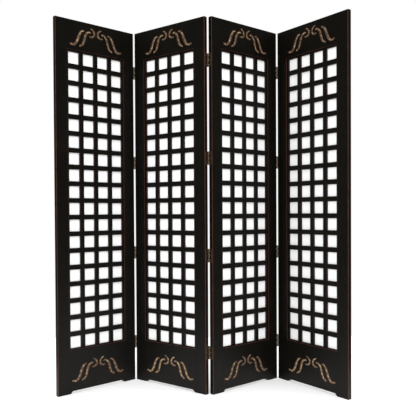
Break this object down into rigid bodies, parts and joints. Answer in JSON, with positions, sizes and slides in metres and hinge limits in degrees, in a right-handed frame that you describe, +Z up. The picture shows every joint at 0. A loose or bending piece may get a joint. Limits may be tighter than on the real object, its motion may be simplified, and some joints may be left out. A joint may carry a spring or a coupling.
{
  "type": "shoji folding screen",
  "caption": "Free-standing folding room divider: lacquered frames with a square lattice over paper, carved scroll rails, and butt hinges that let the panels fold flat together.",
  "frame": {"origin": "middle of the standing screen's plan, on the floor under its feet", "axes": "+Z up, +X along the screen from the first panel to the last, +Y from the front towards the back; front faces with the lattice proud of the paper look to -Y"},
  "size_m": [1.4096, 0.3738, 1.829],
  "materials": {
    "black_lacquer": "satin black lacquer, rubbed through to red-brown on the arrises; carved scrolls wiped with antique gold",
    "grille_lacquer": "satin black lacquer, rubbed through to red-brown on the window edges",
    "shoji_paper": "matt white fibre-flecked paper, light comes through it",
    "aged_brass": "brown antiqued brass, dull with brighter knuckle edges"
  },
  "bodies": {
    "panel_1": {"panel_1_stile_left": "black_lacquer", "panel_1_stile_right": "black_lacquer", "panel_1_top_rail": "black_lacquer", "panel_1_bottom_rail": "black_lacquer", "panel_1_grille": "grille_lacquer", "panel_1_paper": "shoji_paper", "hinge_12_top_outer_leaf": "aged_brass", "hinge_12_top_pin": "aged_brass", "hinge_12_upper_outer_leaf": "aged_brass", "hinge_12_upper_pin": "aged_brass", "hinge_12_lower_outer_leaf": "aged_brass", "hinge_12_lower_pin": "aged_brass", "hinge_12_bottom_outer_leaf": "aged_brass", "hinge_12_bottom_pin": "aged_brass"},
    "panel_2": {"panel_2_stile_left": "black_lacquer", "panel_2_stile_right": "black_lacquer", "panel_2_top_rail": "black_lacquer", "panel_2_bottom_rail": "black_lacquer", "panel_2_grille": "grille_lacquer", "panel_2_paper": "shoji_paper", "hinge_12_top_inner_leaf": "aged_brass", "hinge_12_upper_inner_leaf": "aged_brass", "hinge_12_lower_inner_leaf": "aged_brass", "hinge_12_bottom_inner_leaf": "aged_brass", "hinge_23_top_outer_leaf": "aged_brass", "hinge_23_top_pin": "aged_brass", "hinge_23_upper_outer_leaf": "aged_brass", "hinge_23_upper_pin": "aged_brass", "hinge_23_lower_outer_leaf": "aged_brass", "hinge_23_lower_pin": "aged_brass", "hinge_23_bottom_outer_leaf": "aged_brass", "hinge_23_bottom_pin": "aged_brass"},
    "panel_3": {"panel_3_stile_left": "black_lacquer", "panel_3_stile_right": "black_lacquer", "panel_3_top_rail": "black_lacquer", "panel_3_bottom_rail": "black_lacquer", "panel_3_grille": "grille_lacquer", "panel_3_paper": "shoji_paper", "hinge_23_top_inner_leaf": "aged_brass", "hinge_23_upper_inner_leaf": "aged_brass", "hinge_23_lower_inner_leaf": "aged_brass", "hinge_23_bottom_inner_leaf": "aged_brass", "hinge_34_top_outer_leaf": "aged_brass", "hinge_34_top_pin": "aged_brass", "hinge_34_upper_outer_leaf": "aged_brass", "hinge_34_upper_pin": "aged_brass", "hinge_34_lower_outer_leaf": "aged_brass", "hinge_34_lower_pin": "aged_brass", "hinge_34_bottom_outer_leaf": "aged_brass", "hinge_34_bottom_pin": "aged_brass"},
    "panel_4": {"panel_4_stile_left": "black_lacquer", "panel_4_stile_right": "black_lacquer", "panel_4_top_rail": "black_lacquer", "panel_4_bottom_rail": "black_lacquer", "panel_4_grille": "grille_lacquer", "panel_4_paper": "shoji_paper", "hinge_34_top_inner_leaf": "aged_brass", "hinge_34_upper_inner_leaf": "aged_brass", "hinge_34_lower_inner_leaf": "aged_brass", "hinge_34_bottom_inner_leaf": "aged_brass"}
  },
  "joints": [
    {"name": "fold_1_2", "type": "hinge", "parent": "panel_2", "child": "panel_1", "pos_m": [-0.34203, 0.16228, 0.9145], "axis": [0, 0, 1], "range_deg": [-75.8, 104.2]},
    {"name": "fold_2_3", "type": "hinge", "parent": "panel_2", "child": "panel_3", "pos_m": [0.0385, -0.08597, 0.9145], "axis": [0, 0, 1], "range_deg": [-74, 106]},
    {"name": "fold_3_4", "type": "hinge", "parent": "panel_3", "child": "panel_4", "pos_m": [0.41374, 0.17019, 0.9145], "axis": [0, 0, -1], "range_deg": [-90.4, 89.6]}
  ]
}
